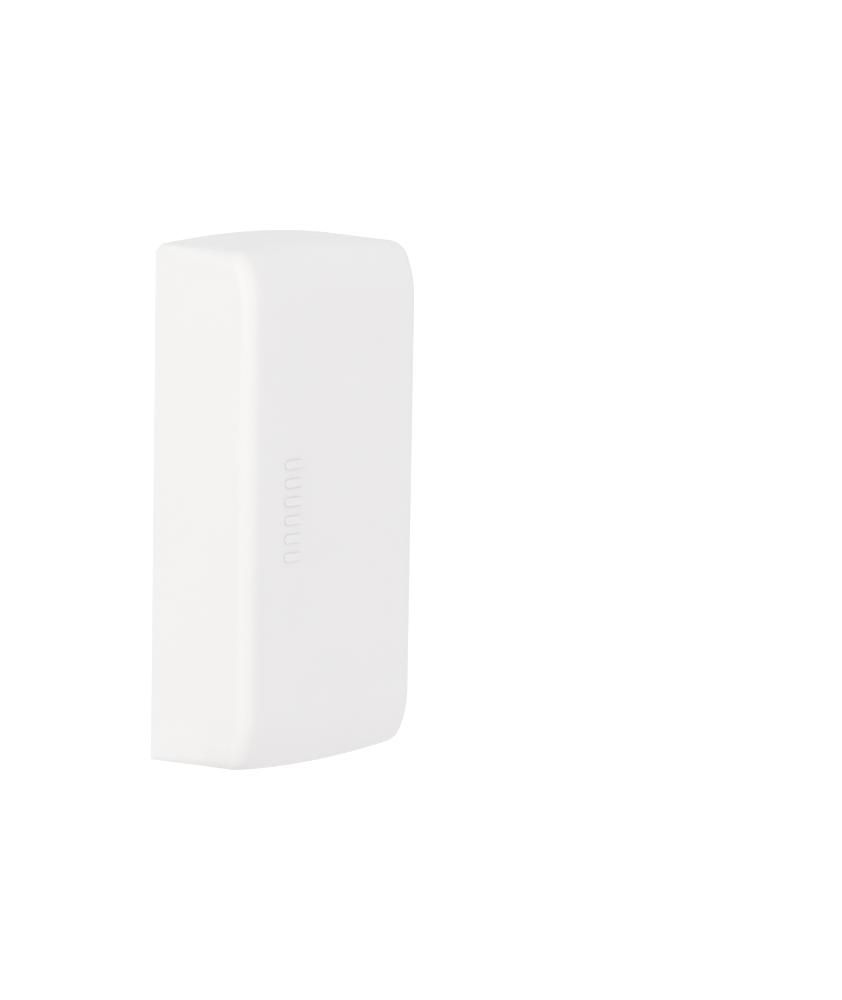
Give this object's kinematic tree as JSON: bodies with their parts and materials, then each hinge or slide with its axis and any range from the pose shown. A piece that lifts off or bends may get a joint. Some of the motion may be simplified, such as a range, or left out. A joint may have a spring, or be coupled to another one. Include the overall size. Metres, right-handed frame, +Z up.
{
  "type": "door contact sensor",
  "caption": "Slim white wireless door contact sensor: a tilting front cover over a wall plate that carries a circuit board, reed switch, cells and tamper switches.",
  "frame": {"origin": "centre of the back face, on the wall plane, at mid-width and mid-height", "axes": "+Z up along the long side, +X to the right of someone facing the sensor, front towards -Y, back against the wall towards +Y"},
  "size_m": [0.038, 0.0203, 0.0809],
  "materials": {
    "cover_plastic": "white, fine satin texture",
    "base_plastic": "white, plain moulded",
    "board_laminate": "green solder mask over glass laminate",
    "zinc_steel": "bright zinc plating",
    "holder_plastic": "black moulded",
    "cell_steel": "bright nickel-plated steel",
    "cell_wrap": "printed shrink film",
    "contact_nickel": "nickel plating",
    "shield_tin": "matt tinned steel",
    "antenna_wire": "enamelled copper wire",
    "chip_resin": "black moulded resin with tinned legs",
    "crystal_can": "bright drawn can",
    "capacitor_ceramic": "tan ceramic with tinned ends",
    "resistor_body": "black film with tinned ends",
    "led_lens": "clear lens on a white carrier",
    "reed_glass": "pale green glass",
    "reed_metal": "nickel-iron, tinned leads",
    "switch_case": "black nylon",
    "tamper_actuator": "ivory nylon",
    "learn_actuator": "red nylon",
    "plunger_plastic": "white acetal",
    "spring_steel": "bright spring steel"
  },
  "bodies": {
    "base": {"base_plate": "base_plastic", "circuit_board": "board_laminate", "board_screws": "zinc_steel", "battery_holder": "holder_plastic", "battery_cell_left": "cell_steel", "battery_cell_right": "cell_steel", "cell_sleeve_left": "cell_wrap", "cell_sleeve_right": "cell_wrap", "link_contact": "contact_nickel", "link_spring": "contact_nickel", "positive_contact": "contact_nickel", "negative_contact": "contact_nickel", "negative_spring": "contact_nickel", "radio_shield": "shield_tin", "antenna_coil": "antenna_wire", "microcontroller": "chip_resin", "crystal": "crystal_can", "capacitors": "capacitor_ceramic", "resistors": "resistor_body", "status_led": "led_lens", "reed_glass": "reed_glass", "reed_fixed_blade": "reed_metal", "reed_lead": "reed_metal", "tamper_switch_housing": "switch_case", "tamper_spring": "spring_steel", "learn_switch_housing": "switch_case", "learn_dome": "spring_steel", "wall_tamper_housing": "switch_case", "wall_tamper_spring": "spring_steel"},
    "cover": {"front_cover": "cover_plastic"},
    "tamper_button": {"tamper_button": "tamper_actuator"},
    "learn_button": {"learn_button": "learn_actuator"},
    "wall_plunger": {"wall_tamper_plunger": "plunger_plastic"},
    "reed_blade": {"reed_moving_blade": "reed_metal"}
  },
  "joints": [
    {"name": "cover_hinge", "type": "hinge", "parent": "base", "child": "cover", "pos_m": [0, -0.0026, 0.0374], "axis": [-1, 0, 0], "range_deg": [0, 45]},
    {"name": "cover_tamper_travel", "type": "slide", "parent": "base", "child": "tamper_button", "axis": [0, -1, 0], "range_m": [0, 0.001], "deforming": ["tamper_spring"]},
    {"name": "learn_button_press", "type": "slide", "parent": "base", "child": "learn_button", "axis": [0, 1, 0], "range_m": [0, 0.0003], "stiffness_N_per_m": 600, "deforming": ["learn_dome"]},
    {"name": "wall_plunger_travel", "type": "slide", "parent": "base", "child": "wall_plunger", "axis": [0, 1, 0], "range_m": [0, 0.0015], "stiffness_N_per_m": 120, "deforming": ["wall_tamper_spring"]},
    {"name": "reed_blade_flex", "type": "hinge", "parent": "base", "child": "reed_blade", "pos_m": [-0.0128, -0.00688, 0.0062], "axis": [1, 0, 0], "range_deg": [0, 1.5], "stiffness_Nm_per_rad": 0.0005}
  ],
  "couplings": [
    {"joint": "cover_tamper_travel", "follows": "cover_hinge", "m_per_rad": 0.00127}
  ]
}
